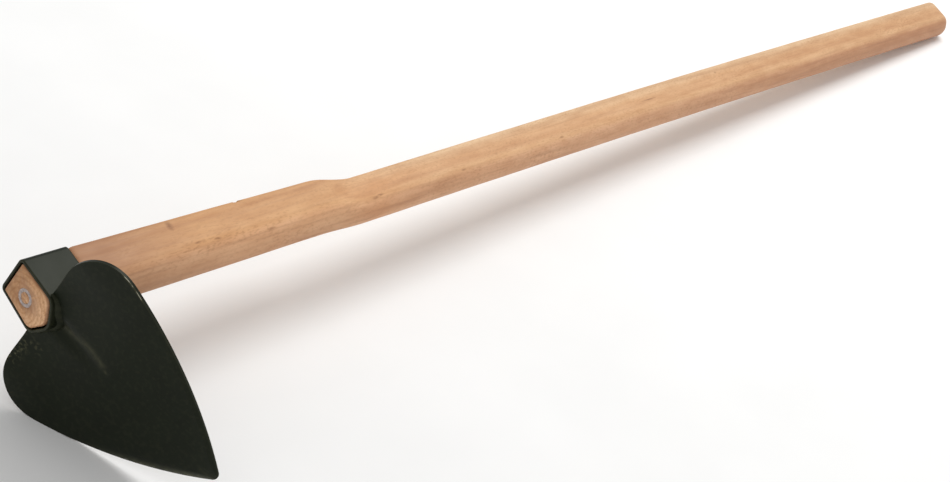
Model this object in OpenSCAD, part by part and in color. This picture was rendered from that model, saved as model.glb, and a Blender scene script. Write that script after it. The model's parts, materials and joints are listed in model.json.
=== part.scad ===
// Heart-bladed garden hoe: a beech handle set in a bent steel eye, with a dished blade welded under it.
// Tool axes: X runs along the handle from the front rim of the eye, Z points away from the blade.
// The finished hoe lies on the ground, on its grip end and on one long side of the blade.

/* [Handle] */
// Overall length of the handle
handle_len = 1300; // [900:10:1700]
// Length of the thick head, from the front rim of the eye to the start of the step
head_len = 260; // [150:1:400]
// Length of the step from the thick head down to the shaft
step_len = 48; // [30:1:90]
// Width of the head across its flat top
head_top_w = 33; // [30:0.2:38]
// Width of the head at its knees, where the straight sides end
head_low_w = 34.4; // [31:0.2:40]
// Height of the head from flat top to belly
head_h = 40; // [35:0.2:44]
// Depth of the head's flat top below the flat of the eye
head_drop = 1.3; // [0.4:0.1:4]
// Depth of the head's flat top below the flat of the eye, next to the step
head_end_drop = 4.4; // [2:0.1:6]
// Width of the shaft across its flat top, next to the step
shaft_top_w = 25.5; // [22:0.2:30]
// Width of the shaft at its knees, next to the step
shaft_low_w = 27; // [23:0.2:31]
// Height of the shaft next to the step
shaft_h = 33.2; // [28:0.2:38]
// Depth of the shaft's flat top below the flat of the eye, next to the step
shaft_drop = 9.9; // [5:0.1:12]
// Width of the grip end across its flat top
grip_top_w = 27.5; // [22:0.2:32]
// Width of the grip end at its knees
grip_low_w = 29; // [24:0.2:33]
// Height of the grip end
grip_h = 36.5; // [32:0.1:42]
// Depth of the grip end's flat top below the flat of the eye
grip_drop = 9; // [4:0.1:11]
// Height by which the middle of the shaft bows away from the blade
bow = 1.6; // [0:0.1:4]
// Radius of the handle's top edges
top_edge_r = 3.5; // [1.5:0.1:6]
// Radius of the handle's belly
belly_r = 11.5; // [6:0.1:12]
// Length of the rounded grip end
dome_len = 17; // [5:0.5:25]

/* [Eye] */
// Length of the eye along the handle
eye_len = 36.6; // [25:0.5:50]
// Outer width of the eye across its flat
eye_top_w = 33.4; // [27:0.2:36]
// Outer width of the eye at its knees
eye_low_w = 38.2; // [32:0.2:42]
// Outer height of the eye
eye_h = 45; // [42:0.2:52]
// Wall of the bent band
eye_wall = 2.2; // [1.5:0.1:3]
// Outer bend radius at the corners of the flat
eye_edge_r = 4; // [2.6:0.1:5]
// Outer bend radius at the knees
eye_knee_r = 9; // [4:0.1:11]
// Outer bend radius at the foot
eye_foot_r = 11; // [4:0.1:13]
// Chamfer on the rims of the eye
rim_chamfer = 0.4; // [0.2:0.1:0.7]
// Clearance between the eye and the wood in it
eye_fit = 0.2; // [0.1:0.05:0.5]
// Extra gap above the wood, under the flat of the eye
flat_gap = 0.9; // [0.2:0.1:2]
// Extra gap below the wood, over the foot of the eye
foot_gap = 1.2; // [0.2:0.1:2]

/* [Blade] */
// Width of the blade across its lobes
blade_w = 157; // [120:1:200]
// Length of the blade from its shoulders to its tip
blade_len = 154; // [120:1:200]
// Thickness of the plate
plate_t = 2.4; // [1.5:0.1:4]
// Thickness left at the bevelled edge
edge_t = 0.9; // [0.5:0.1:1.4]
// Width of the bevel along the edge
bevel_w = 5; // [3:0.5:10]
// Distance from the shoulders at which the bevel starts to grow
bevel_start = 50; // [20:1:100]
// Radius of the lobes
lobe_r = 33; // [20:0.5:45]
// Distance from the shoulders down to the widest place
lobe_drop = 28; // [18:0.5:40]
// Radius of the long sides
side_r = 306; // [240:1:600]
// Radius of the tip
tip_r = 6; // [3:0.5:10]
// Lean of the blade towards the grip
blade_tilt = 17.9; // [5:0.1:30]
// Depth of the shoulders below the flat of the eye
shoulder_drop = 33; // [29:0.5:37]
// Depth of the broad dish pressed into the blade under the eye
dish_depth = 4.8; // [4:0.1:8]
// Half width of the dish
dish_half_w = 62; // [45:1:75]
// Length over which the dish runs out towards the tip
dish_len = 56; // [40:1:80]
// Depth of the fold pressed down the middle of the dish
fold_depth = 3.8; // [2:0.1:8]
// Half width of the fold, next to the eye
fold_half_w = 8; // [6:0.5:16]
// Half width of the fold where it runs out
fold_end_half_w = 5; // [3:0.5:12]
// Length over which the fold runs out towards the tip
fold_len = 50; // [30:1:80]
// Bend radius along the crease of the fold, next to the eye
crease_r = 2; // [0.5:0.1:4]
// Bend radius where the fold runs out
crease_end_r = 4; // [2:0.5:10]

/* [Welds] */
// Leg of the weld beads along the eye
weld_leg = 4.4; // [2:0.2:6]
// Leg of the weld beads out over the blade
weld_toe = 2.6; // [1.6:0.2:4]

/* [Ring wedge] */
// Outer diameter of the ring
ring_d = 13; // [10:0.2:18]
// Wall of the ring at its struck end
ring_wall = 2.6; // [1:0.1:3]
// Wall of the ring at its sharp end
ring_edge = 0.8; // [0.4:0.1:1]
// Length that the ring is driven in
ring_len = 12; // [6:0.5:20]
// Clearance of the ring in the wood
ring_fit = 0.05; // [0.02:0.01:0.2]

/* [Hidden] */

beech = "#dcb691";
bare_steel = "#a5968f";
dark_paint = "#2a2c24";
worn_paint = "#3a3c33";

// Flank slopes below the knees, in degrees
eye_flank = 28;
belly_flank = 40;
// Segments in each rounded corner of a section, an even number
arc_n = 8;
corner_n = arc_n + 1;
$fn = 64;
// Overrun of cuts
over = 1;
// Least radius left on an inset corner, as a share of the eye's wall
least_r_share = 0.25;
least_r = eye_wall * least_r_share;
// How far the wood stands out of the front rim, and the chamfer round its end
nose_out = 0.5;
nose_chamfer = 1;
// Gap behind the eye and length of the rounded shoulder that fills out the head there
shoulder_gap = 0.3;
shoulder_len = 5;
// Stations along the lofts
shoulder_n = 5;
step_n = 10;
shaft_n = 6;
dome_n = 7;
// How far the grip end closes in
dome_share = 0.56;
// Place of the ring wedge in the end grain
ring_side = 1.5;
ring_down_share = 0.43;

function unit(v) = v / norm(v);
function mix(a, b, t) = a + (b - a) * t;
function ease(t) = t * t * (3 - 2 * t);
function clamp(t) = max(0, min(1, t));
function flat(lists) = [for (l = lists) each l];

// A section has five corners, each [y, z, radius]: a flat top, two sides and two flanks that meet at a foot
function section(top_w, low_w, drop, h, edge_r, knee_r, foot_r, flank) =
    let (foot_z = -drop - h - foot_r * (1 / cos(flank) - 1))
    let (knee_z = foot_z + low_w / 2 * tan(flank))
    [
        [-top_w / 2, -drop, edge_r],
        [-low_w / 2, knee_z, knee_r],
        [0, foot_z, foot_r],
        [low_w / 2, knee_z, knee_r],
        [top_w / 2, -drop, edge_r],
    ];

function corner_at(c, i) = let (k = c[(i + len(c)) % len(c)]) [k[0], k[1]];

// Half of the angle inside corner i
function half_angle(c, i) =
    let (b = corner_at(c, i))
    acos(unit(corner_at(c, i - 1) - b) * unit(corner_at(c, i + 1) - b)) / 2;

// The way from corner i to the inside of the section
function inward(c, i) =
    let (b = corner_at(c, i))
    unit(unit(corner_at(c, i - 1) - b) + unit(corner_at(c, i + 1) - b));

// The same section with every wall moved in by d
function inset(c, d) = [
    for (i = [0 : len(c) - 1])
        let (p = corner_at(c, i) + inward(c, i) * d / sin(half_angle(c, i)))
        [p[0], p[1], max(c[i][2] - d, least_r)]
];

// Points round a section, with an arc at each corner
function outline(c) = [
    for (i = [0 : len(c) - 1])
        let (half = half_angle(c, i))
        let (centre = corner_at(c, i) + inward(c, i) * c[i][2] / sin(half))
        let (out = -inward(c, i))
        let (middle = atan2(out[1], out[0]))
        for (j = [0 : arc_n])
            let (a = middle + (2 * j / arc_n - 1) * (90 - half))
            centre + c[i][2] * [cos(a), sin(a)]
];

// A section's outline at x, drawn in to the share k of its size
function ring_at(x, c, k = 1) =
    let (mid_z = (c[0][1] + c[2][1]) / 2)
    [for (p = outline(c)) [x, p[0] * k, mid_z + (p[1] - mid_z) * k]];

// Triangles of the wall between neighbouring rings of n points
function wall_faces(rings_n, n, closed = false) = [
    for (r = [0 : closed ? rings_n - 1 : rings_n - 2])
        for (i = [0 : n - 1])
            let (a = r * n + i)
            let (b = r * n + (i + 1) % n)
            let (c = (r + 1) % rings_n * n + i)
            let (d = (r + 1) % rings_n * n + (i + 1) % n)
            each [[a, d, b], [a, c, d]]
];

// A solid lofted through rings, closed by a flat cap at each end
module loft(rings) {
    n = len(rings[0]);
    last = (len(rings) - 1) * n;
    first_cap = [for (i = [0 : n - 1]) i];
    last_cap = [for (i = [n - 1 : -1 : 0]) last + i];
    polyhedron(flat(rings), concat([first_cap, last_cap], wall_faces(len(rings), n)), convexity = 6);
}

// A ring-shaped solid lofted through rings, the last joined to the first
module loop_loft(rings) {
    polyhedron(flat(rings), wall_faces(len(rings), len(rings[0]), true), convexity = 6);
}

// A plate between two grids of points of the same size
module plate(front, back) {
    rows = len(front);
    n = len(front[0]);
    rim = concat(
        [for (i = [0 : n - 1]) i],
        [for (r = [1 : rows - 1]) r * n + n - 1],
        [for (i = [n - 2 : -1 : 0]) (rows - 1) * n + i],
        [for (r = [rows - 2 : -1 : 1]) r * n]
    );
    m = rows * n;
    faces = concat(
        [for (r = [0 : rows - 2]) for (i = [0 : n - 2])
            let (a = r * n + i)
            each [[a, a + n, a + n + 1], [a, a + n + 1, a + 1]]],
        [for (r = [0 : rows - 2]) for (i = [0 : n - 2])
            let (a = m + r * n + i)
            each [[a, a + n + 1, a + n], [a, a + 1, a + n + 1]]],
        [for (i = [0 : len(rim) - 1])
            let (a = rim[i])
            let (b = rim[(i + 1) % len(rim)])
            each [[a, b, m + b], [a, m + b, m + a]]]
    );
    polyhedron(concat(flat(front), flat(back)), faces, convexity = 6);
}

// Sections of the eye and of the wood
eye_outer = section(eye_top_w, eye_low_w, 0, eye_h, eye_edge_r, eye_knee_r, eye_foot_r, eye_flank);
eye_inner = inset(eye_outer, eye_wall);
wood_in_eye = inset(eye_outer, eye_wall + eye_fit);
tenon = [
    for (i = [0 : len(wood_in_eye) - 1])
        let (is_top = i == 0 || i == len(wood_in_eye) - 1)
        wood_in_eye[i] + [0, is_top ? -flat_gap : foot_gap, 0]
];
function wood(top_w, low_w, drop, h) =
    section(top_w, low_w, drop, h, top_edge_r, belly_r, belly_r, belly_flank);
head = wood(head_top_w, head_low_w, head_drop, head_h);
head_end = wood(head_top_w, head_low_w, head_end_drop, head_h + head_drop - head_end_drop);
shaft = wood(shaft_top_w, shaft_low_w, shaft_drop, shaft_h);
grip = wood(grip_top_w, grip_low_w, grip_drop, grip_h);

// Rings of the eye: out along the outside, and back along the inside
outer_rim = inset(eye_outer, rim_chamfer);
inner_rim = inset(eye_outer, eye_wall - rim_chamfer);
eye_rings = [
    ring_at(0, outer_rim),
    ring_at(rim_chamfer, eye_outer),
    ring_at(eye_len - rim_chamfer, eye_outer),
    ring_at(eye_len, outer_rim),
    ring_at(eye_len, inner_rim),
    ring_at(eye_len - rim_chamfer, eye_inner),
    ring_at(rim_chamfer, eye_inner),
    ring_at(0, inner_rim),
];

// Rings of the handle from the end grain in the eye to the rounded grip
handle_end = handle_len - nose_out;
shoulder_x = eye_len + shoulder_gap;
step_end = head_len + step_len;
dome_x = handle_end - dome_len;
handle_rings = concat(
    [ring_at(-nose_out, inset(tenon, nose_chamfer))],
    [for (x = [nose_chamfer - nose_out, shoulder_x]) ring_at(x, tenon)],
    [for (i = [1 : shoulder_n])
        let (a = 90 * i / shoulder_n)
        ring_at(shoulder_x + shoulder_len * (1 - cos(a)), mix(tenon, head, sin(a)))],
    [for (i = [0 : step_n])
        ring_at(head_len + step_len * i / step_n, mix(head_end, shaft, ease(i / step_n)))],
    [for (i = [1 : shaft_n])
        let (t = i / shaft_n)
        let (lift = [0, bow * sin(180 * t), 0])
        ring_at(mix(step_end, dome_x, t), [for (c = mix(shaft, grip, t)) c + lift])],
    [for (i = [1 : dome_n])
        let (a = 90 * i / dome_n)
        ring_at(dome_x + dome_len * sin(a), grip, 1 - dome_share * (1 - cos(a)))]
);

// The ring wedge's half profile, grown by a fit, from its stand over the end grain inwards
function ring_profile(fit, stand) = [
    [ring_d / 2 - ring_wall - fit, -stand],
    [ring_d / 2 + fit, -stand],
    [ring_d / 2 + fit, ring_len + fit],
    [ring_d / 2 - ring_edge - fit, ring_len + fit],
    if (stand > 0) [ring_d / 2 - ring_wall - fit, 0],
];

module in_end_grain() {
    translate([-nose_out, ring_side, -eye_h * ring_down_share]) rotate([0, 90, 0]) children();
}

// Blade: u runs across, v from the shoulders to the tip, w through the plate towards the grip
function on_blade(u, v, w) = [
    v * sin(blade_tilt) + w * cos(blade_tilt),
    u,
    w * sin(blade_tilt) - v * cos(blade_tilt) - shoulder_drop
];

// Exponents that flatten the middle of the dish and soften its ends and the shoulders of the fold
dish_flat = 3;
dish_power = 1.5;
fold_power = 1.3;
// Where the dish starts to run out, as a share of the way from the shoulders to the foot of the eye
dish_start_share = 0.65;
dish_start = (eye_h - shoulder_drop) * dish_start_share;
fold_start = eye_h - shoulder_drop;

// How far the plate lies behind its flat place, with the crease rounded more and more as the fold runs out
function dish(u, v) =
    let (along = clamp((v - dish_start) / dish_len))
    let (fold_along = clamp((v - fold_start) / fold_len))
    let (bend_r = mix(crease_r, crease_end_r, fold_along))
    let (off = sqrt(u * u + bend_r * bend_r) - bend_r)
    let (across = clamp(1 - pow(abs(u) / dish_half_w, dish_flat)))
    let (broad = pow(across, dish_power) * pow(cos(90 * along), dish_power))
    let (half_w = mix(fold_half_w, fold_end_half_w, fold_along))
    let (fold = pow(clamp(1 - off / half_w), fold_power) * (1 - fold_along))
    dish_depth * broad + fold_depth * fold;

// The v at which the plate's surface, w off its middle, meets a point of the eye
function v_under(p, w, tries = 6) =
    let (v = tries == 0 ? 0 : v_under(p, w, tries - 1))
    ((dish(p[0], v) + w) * sin(blade_tilt) - p[1] - shoulder_drop) / cos(blade_tilt);

// Centre of the long side arc, tangent inside to the lobe and to the tip
lobe_c = [blade_w / 2 - lobe_r, lobe_drop];
tip_c = [0, blade_len - tip_r];
span = norm(tip_c - lobe_c);
side_along = (pow(side_r - lobe_r, 2) - pow(side_r - tip_r, 2) + span * span) / (2 * span);
side_off = sqrt(pow(side_r - lobe_r, 2) - side_along * side_along);
side_dir = (tip_c - lobe_c) / span;
side_c = lobe_c + side_dir * side_along + [side_dir[1], -side_dir[0]] * -side_off;
to_lobe = unit(lobe_c - side_c);
to_tip = unit(tip_c - side_c);
lobe_end = atan2(to_lobe[1], to_lobe[0]);
side_end = atan2(to_tip[1], to_tip[0]);

// Points of one edge of the blade, from the cleft beside the eye to the tip
shoulder_pts = 3;
lobe_top_n = 8;
lobe_low_n = 3;
side_n = 14;
tip_n = 4;
tip_share = 0.88;
function arc_point(c, r, a) = c + [r[0] * cos(a), r[1] * sin(a)];
cleft_z = dish(eye_low_w / 2, 0) * sin(blade_tilt) - shoulder_drop;
eye_ring = outline(eye_outer);
foot_i = 2 * corner_n + arc_n / 2;
eye_half = [for (i = [foot_i : len(eye_ring) - 1]) eye_ring[i]];
neck_ring = [for (p = eye_half) if (p[1] < cleft_z - least_r) p];
neck_end = neck_ring[len(neck_ring) - 1];
neck_next = eye_half[len(neck_ring)];
cleft = mix(neck_end, neck_next, (cleft_z - neck_end[1]) / (neck_next[1] - neck_end[1]));
blade_edge = concat(
    [for (i = [0 : shoulder_pts]) [mix(cleft[0], lobe_c[0], i / (shoulder_pts + 1)), 0]],
    [for (i = [0 : lobe_top_n]) arc_point(lobe_c, [lobe_r, lobe_drop], 90 * i / lobe_top_n - 90)],
    [for (i = [1 : lobe_low_n]) arc_point(lobe_c, [lobe_r, lobe_r], lobe_end * i / lobe_low_n)],
    [for (i = [1 : side_n]) arc_point(side_c, [side_r, side_r], mix(lobe_end, side_end, i / side_n))],
    [for (i = [1 : tip_n]) arc_point(tip_c, [tip_r, tip_r], mix(side_end, 90, tip_share * i / tip_n))]
);
rows_n = len(blade_edge) - 1;

// How far along the edge each of its points lies, from 0 to 1
function run(i) = i == 0 ? 0 : run(i - 1) + norm(blade_edge[i] - blade_edge[i - 1]);
edge_runs = [for (i = [0 : rows_n]) run(i) / run(rows_n)];

// Points of the eye that half of the neck follows, from the foot up to the cleft, with long gaps filled
neck_step_share = 0.07;
neck_step = eye_low_w * neck_step_share;
function filled(points, step) = concat(
    [for (i = [0 : len(points) - 2])
        let (n = ceil(norm(points[i + 1] - points[i]) / step))
        for (k = [0 : n - 1]) mix(points[i], points[i + 1], k / n)],
    [points[len(points) - 1]]
);
neck = filled(concat(neck_ring, [cleft]), neck_step);
cols = len(neck) - 1;

// Columns run from the crease to the edge, close together at the crease, with the last one the bevel
col_power = 2;
bevel_most_share = 0.5;
function bevel_part(r) =
    let (row = norm(blade_edge[r] - [0, mix(neck_v0, blade_len, edge_runs[r])]))
    min(bevel_w / row, bevel_most_share);
function col(r, j) = j == cols ? 1 : (1 - bevel_part(r)) * pow(j / (cols - 1), col_power);
neck_v0 = v_under(neck[0], 0);

// Rows near the neck bend with it, and those past this share of the edge are straight
neck_share = 0.25;
function straighten(r) = ease(clamp(edge_runs[r] / neck_share));

// One row of the right half of the plate's middle, where the surface w off the middle meets the eye
function half_row(r, w) =
    let (neck_uv = [for (p = neck) [p[0], v_under(p, w)]])
    let (first = neck_uv[0])
    let (last = neck_uv[cols])
    let (crease = [0, mix(first[1], blade_len, edge_runs[r])])
    let (edge = r == 0 ? last : blade_edge[r])
    [for (j = [0 : cols])
        let (t = col(r, j))
        let (bend = neck_uv[j] - mix(first, last, col(0, j)))
        mix(crease, edge, t) + bend * (1 - straighten(r))];

// The bevel takes the front face down along the edge, more and more towards the tip
function bevel_at(r, uv) =
    let (to_edge = min(norm(blade_edge[r] - [abs(uv[0]), uv[1]]), blade_len - uv[1]))
    let (growth = clamp((uv[1] - bevel_start) / (blade_len - bevel_start)))
    (plate_t - edge_t) * clamp(1 - to_edge / bevel_w) * growth;

// Grid of one face of the blade: side is -1 for the front and 1 for the back
function blade_grid(side) = [
    for (r = [0 : rows_n])
        let (half = half_row(r, side * plate_t / 2))
        [for (j = [-cols : cols])
            let (uv = half[abs(j)])
            let (u = sign(j) * uv[0])
            let (bevel = side < 0 ? bevel_at(r, uv) : 0)
            on_blade(u, uv[1], dish(u, uv[1]) + side * plate_t / 2 + bevel)]
];
blade_front = blade_grid(-1);
blade_back = blade_grid(1);

// Weld beads follow the neck on each face, thinner towards the clefts
weld_end_share = 0.35;
weld_bulge_share = 0.68;
weld_n = 4;
function weld_ring(j, side) =
    let (p = [sign(j) * neck[abs(j)][0], neck[abs(j)][1]])
    let (away = neck_out(abs(j)))
    let (thin = mix(1, weld_end_share, abs(j) / cols))
    let (toe = p + weld_toe * thin * [sign(j) * away[0], away[1]])
    let (root = on_face(p, side))
    let (eye_toe = root + [side * weld_leg * thin, 0, 0])
    let (blade_toe = on_face(toe, side))
    let (bulge = root + (eye_toe - root) * weld_bulge_share + (blade_toe - root) * weld_bulge_share)
    let (bead = [for (i = [0 : weld_n])
        let (t = i / weld_n)
        mix(mix(eye_toe, bulge, t), mix(bulge, blade_toe, t), t)])
    concat([root], bead);
function on_face(p, side) =
    let (v = v_under(p, side * plate_t / 2))
    on_blade(p[0], v, dish(p[0], v) + side * plate_t / 2);
// The way out of the eye at a point of the neck
function neck_out(j) =
    let (a = neck[max(j - 1, 0)])
    let (b = neck[min(j + 1, cols)])
    let (d = unit(b - (j == 0 ? [-neck[1][0], neck[1][1]] : a)))
    [d[1], -d[0]];

// Lying on the ground: the blade touches at a place on its long side, the handle at its grip end
rest_share = 0.036;
rest_a = mix(lobe_end, side_end, rest_share);
rest_uv = arc_point(side_c, [side_r, side_r], rest_a);
rest_point = on_blade(rest_uv[0], rest_uv[1], 0);
rest_along = on_blade(-sin(rest_a), cos(rest_a), 0) - on_blade(0, 0, 0);
grip_ring = ring_at(dome_x, grip);
all_points = concat(flat(eye_rings), flat(handle_rings), flat(blade_front), flat(blade_back));

function least(points, way) = min([for (p = points) p * way]);
function lowest(points, way) =
    let (low = least(points, way))
    [for (p = points) if (p * way == low) p][0];
function ground_up(tries) =
    let (up = tries == 0 ? [0, -1, 0] : ground_up(tries - 1))
    unit(cross(rest_along, lowest(grip_ring, up) - rest_point));
up = ground_up(4);
ahead = unit([1, 0, 0] - up * up[0]);
aside = cross(up, ahead);
middle_x = (least(all_points, ahead) - least(all_points, -ahead)) / 2;
middle_y = (least(all_points, aside) - least(all_points, -aside)) / 2;
bottom = least(all_points, up);

module laid_down() {
    multmatrix([
        [ahead[0], ahead[1], ahead[2], -middle_x],
        [aside[0], aside[1], aside[2], -middle_y],
        [up[0], up[1], up[2], -bottom],
    ]) children();
}

module handle() {
    color(beech) laid_down() difference() {
        loft(handle_rings);
        in_end_grain() rotate_extrude() polygon(ring_profile(ring_fit, over));
    }
}

module ring_wedge() {
    color(bare_steel) laid_down() in_end_grain() rotate_extrude() polygon(ring_profile(0, 0));
}

module eye_collar() {
    color(worn_paint) laid_down() loop_loft(eye_rings);
}

module blade() {
    color(dark_paint) laid_down() plate(blade_front, blade_back);
}

module front_weld() {
    color(worn_paint) laid_down() loft([for (j = [cols : -1 : -cols]) weld_ring(j, -1)]);
}

module rear_weld() {
    color(worn_paint) laid_down() loft([for (j = [-cols : cols]) weld_ring(j, 1)]);
}

handle();
ring_wedge();
eye_collar();
blade();
front_weld();
rear_weld();
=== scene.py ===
# %% [markdown]
# A heart-bladed hoe, dressed for a catalogue picture.
# The hoe lies on a pale floor, on its grip end and on one long side of its blade.
# Its solids come from the imported model, so the scene is built in that model's frame, in metres.
# The imported box is kept first.

# %% Load the imported model
import json
import math

import bpy
from mathutils import Matrix, Vector
from mathutils.kdtree import KDTree


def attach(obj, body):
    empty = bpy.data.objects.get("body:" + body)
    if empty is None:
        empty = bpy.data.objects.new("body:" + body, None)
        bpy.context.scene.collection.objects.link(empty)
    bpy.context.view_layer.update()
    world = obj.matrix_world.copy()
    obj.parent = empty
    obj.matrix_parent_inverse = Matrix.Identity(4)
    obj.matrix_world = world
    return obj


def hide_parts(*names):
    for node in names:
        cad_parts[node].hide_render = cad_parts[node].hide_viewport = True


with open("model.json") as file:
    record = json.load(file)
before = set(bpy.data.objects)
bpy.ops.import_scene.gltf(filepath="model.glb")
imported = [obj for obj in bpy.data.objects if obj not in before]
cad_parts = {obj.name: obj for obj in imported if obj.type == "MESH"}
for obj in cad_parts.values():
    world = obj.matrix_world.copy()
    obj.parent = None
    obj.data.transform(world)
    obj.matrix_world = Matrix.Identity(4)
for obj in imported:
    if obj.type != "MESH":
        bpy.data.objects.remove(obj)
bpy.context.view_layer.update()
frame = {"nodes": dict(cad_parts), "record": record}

# %% [markdown]
# The hoe has its own axes: along the handle from the front rim of the eye, across, and up from the blade.
# It lies rolled over on the floor, so patterns that follow the handle, and places measured on the tool,
# need the turn between the tool and the floor. Its angles could be typed in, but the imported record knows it:
# the axis of the clip runs along the shaft, and the flat of the eye faces up, half its length from the rim.
# One matrix takes a place from the floor to the tool, and its inverse takes it back.

# %% Tool axes
MM = 0.001
EYE_LEN = 36.6

mounts = {mount["name"]: mount for mount in frame["record"]["mounts"]}
ALONG = Vector(mounts["shaft_clip"]["axis"]).normalized()
UP = Vector(mounts["eye_flat"]["axis"]).normalized()
ACROSS = UP.cross(ALONG)
TOOL_TURN = Matrix((ALONG, ACROSS, UP)).to_euler()
TOOL_ORIGIN = Vector(mounts["eye_flat"]["pos_m"]) - ALONG * EYE_LEN / 2 * MM
to_tool = TOOL_TURN.to_matrix().to_4x4() @ Matrix.Translation(-TOOL_ORIGIN)
to_floor = to_tool.inverted()


def on_tool(x, y, z):
    """A place on the tool, in millimetres along its own axes, brought into the model's frame."""
    return to_floor @ (Vector((x, y, z)) * MM)


print("front rim of the eye", on_tool(0, 0, 0)[:])

# %% [markdown]
# The camera stands where the photographer's did: in front of the blade and well above it, with a long lens.
# It could be set by eye, but its place was found by matching known corners of the hoe, which is surer.
# It leans to one side, which lets the handle climb steeply across the picture.

# %% Camera
LENS = 73.9
CAMERA_PLACE = Vector((-1.35244, -0.66732, 0.85124))
VIEW_AZIMUTH = 58.770
VIEW_ELEVATION = 32.134
VIEW_LEAN = 18.150

camera_data = bpy.data.cameras.new("camera")
camera_data.lens = LENS
camera_data.sensor_fit = "HORIZONTAL"
camera = bpy.data.objects.new("camera", camera_data)
bpy.context.collection.objects.link(camera)
pan = Matrix.Rotation(math.radians(-VIEW_AZIMUTH), 4, "Z")
tilt = Matrix.Rotation(math.radians(90 - VIEW_ELEVATION), 4, "X")
lean = Matrix.Rotation(math.radians(VIEW_LEAN), 4, "Z")
camera.matrix_world = Matrix.Translation(CAMERA_PLACE) @ pan @ tilt @ lean
bpy.context.scene.camera = camera
print("camera looks along", (camera.matrix_world.to_3x3() @ Vector((0, 0, -1)))[:])

# %% [markdown]
# A catalogue picture is lit from all round, so that nothing casts a hard shadow.
# A ring of lamps could do that, but a white room is simpler, and gives a little more than half of the light.
# The rest comes from one broad lamp, high up beyond the handle: from there its reflection runs along
# the upward sides, which is why the flat of the eye looks greyer than the blade in the same dark paint.

# %% Light
ROOM_LIGHT = 0.62
LAMP_POWER = 46.0
LAMP_SIZE = 1.66
LAMP_PLACE = Vector((1.24, 0.29, 2.4))
LAMP_AIM = Vector((-0.3, 0.05, 0.05))

bpy.context.scene.view_settings.view_transform = "Standard"
world = bpy.data.worlds.new("white_room")
world.use_nodes = True
world.node_tree.nodes["Background"].inputs["Color"].default_value = (1, 1, 1, 1)
world.node_tree.nodes["Background"].inputs["Strength"].default_value = ROOM_LIGHT
bpy.context.scene.world = world

bpy.ops.object.select_all(action="DESELECT")
bpy.ops.object.light_add(type="AREA", location=LAMP_PLACE)
lamp = bpy.context.object
lamp.name = "overhead_lamp"
lamp.data.energy = LAMP_POWER
lamp.data.size = LAMP_SIZE
lamp.rotation_euler = (LAMP_AIM - LAMP_PLACE).to_track_quat("-Z", "Y").to_euler()
print("room light", ROOM_LIGHT, "and a lamp of", LAMP_POWER, "W at", LAMP_PLACE[:])

# %% [markdown]
# The floor is one plain sheet, large enough to fill the picture from every side.
# It isn't part of the hoe.

# %% Floor
FLOOR_SIZE = 14.0

bpy.ops.object.select_all(action="DESELECT")
bpy.ops.mesh.primitive_plane_add(size=FLOOR_SIZE)
floor = bpy.context.object
floor.name = "floor"
print("floor", FLOOR_SIZE, "m wide")

# %% [markdown]
# Colours are picked as sRGB hex values, as on a screen, and the shaders want linear light,
# so one function turns the one into the other.
# Patterns are sized in real millimetres, so another turns sizes into texture scales.

# %% Colours and scales


def linear(hex_colour):
    """Linear RGBA of an sRGB hex colour."""
    shares = [int(hex_colour[i:i + 2], 16) / 255 for i in (1, 3, 5)]
    return tuple(s / 12.92 if s <= 0.04045 else ((s + 0.055) / 1.055) ** 2.4 for s in shares) + (1.0,)


def per_mm(*sizes):
    """Texture scales at which one repeat is as long as each size, in millimetres."""
    return tuple(1 / (size * MM) for size in sizes)


print("mid grey in linear light", linear("#808080"), "scale of a 20 mm pattern", per_mm(20)[0])

# %% [markdown]
# Materials could be wired by hand in the shader editor. In a script, one function adds a node with its
# settings and links: an input that is given a socket is linked, and any other value is typed in.
# A Mix node has sockets for every kind of value, told apart by number, so those for colours get names here.

# %% Nodes
MIX_SHARE = 0
MIX_BASE = 6
MIX_TOP = 7
MIX_COLOUR = 2


def add_node(tree, kind, inputs=None, **settings):
    """A new node: settings are its own values, inputs are links or typed values by socket."""
    node = tree.nodes.new(kind)
    for name, value in settings.items():
        setattr(node, name, value)
    for socket, value in (inputs or {}).items():
        if isinstance(value, bpy.types.NodeSocket):
            tree.links.new(value, node.inputs[socket])
        else:
            node.inputs[socket].default_value = value
    return node


def set_stops(ramp, *stops):
    """Gives a colour ramp its stops, each a place and a hex colour."""
    while len(ramp.elements) < len(stops):
        ramp.elements.new(1.0)
    for element, (place, hex_colour) in zip(ramp.elements, stops):
        element.position = place
        element.color = linear(hex_colour)


print("a Mix node takes its colours at", MIX_BASE, "and", MIX_TOP)

# %% [markdown]
# Every material here starts alike. A pattern could read the object's coordinates as they are,
# but the hoe lies askew in them. So they are first moved to the rim of the eye and turned to the tool's axes.

# %% A new material


def new_material(name):
    """A material, its tree and shader, and the socket that gives places in the tool's axes."""
    material = bpy.data.materials.new(name)
    material.use_nodes = True
    tree = material.node_tree
    place = add_node(tree, "ShaderNodeTexCoord")
    moved = add_node(tree, "ShaderNodeVectorMath", {0: place.outputs["Object"], 1: TOOL_ORIGIN},
                     operation="SUBTRACT")
    turned = add_node(tree, "ShaderNodeMapping", {"Vector": moved.outputs[0], "Rotation": TOOL_TURN[:]})
    return material, tree, tree.nodes["Principled BSDF"], turned.outputs[0]


print("patterns are turned by", [round(math.degrees(angle), 2) for angle in TOOL_TURN], "degrees")

# %% [markdown]
# The floor is a sheet of white paper. Up close, paper is a felt of fibres, so its white is never quite even.
# One flat white could stand for it, but a slight noise looks less like a screen.
# Its patches are drawn far larger than fibres, so that they show.

# %% White paper
FELT_PATCH = 90

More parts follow.
